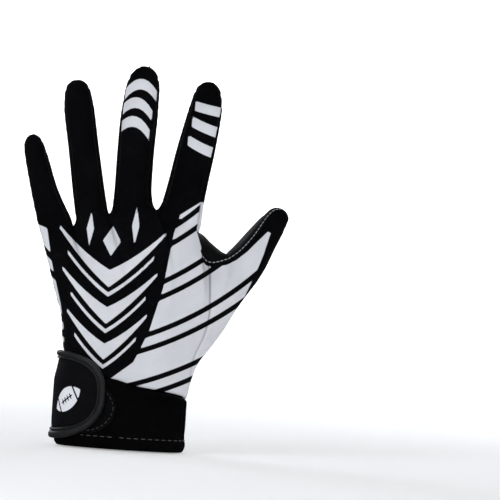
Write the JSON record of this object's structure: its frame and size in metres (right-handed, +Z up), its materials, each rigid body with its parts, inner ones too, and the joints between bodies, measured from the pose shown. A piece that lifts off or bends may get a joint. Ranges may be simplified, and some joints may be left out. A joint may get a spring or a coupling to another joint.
{
  "type": "football glove",
  "caption": "Full-finger glove for the left hand, with a printed stretch back, a coated grip palm and a hook-and-loop wrist strap, held open as worn.",
  "frame": {"origin": "the centre of the wrist opening, in the plane of the cuff's rim", "axes": "+Z up the glove to the fingertips, +Y from the back of the hand to the palm, +X to the thumb's side"},
  "size_m": [0.1623, 0.0505, 0.231],
  "materials": {
    "stretch_fabric": "black stretch knit with bold white printed shapes",
    "coated_palm": "glossy black tacky silicone coat over knit, creased",
    "thumb_fabric": "white printed stretch knit with black lines, black at the tip",
    "cuff_neoprene": "matt black laminated neoprene with a stitched hem",
    "strap_fabric": "matt black laminated neoprene",
    "strap_rubber": "satin black moulded edge",
    "loop_pile": "black brushed loop pile"
  },
  "bodies": {
    "root": {"back_panel": "stretch_fabric", "palm_panel": "coated_palm", "thumb_panel": "thumb_fabric", "fourchette_pinky_ring": "stretch_fabric", "fourchette_ring_middle": "stretch_fabric", "fourchette_middle_index": "stretch_fabric", "index_side": "stretch_fabric", "cuff": "cuff_neoprene", "strap": "strap_fabric", "strap_binding": "strap_rubber", "loop_patch": "loop_pile"}
  },
  "joints": []
}
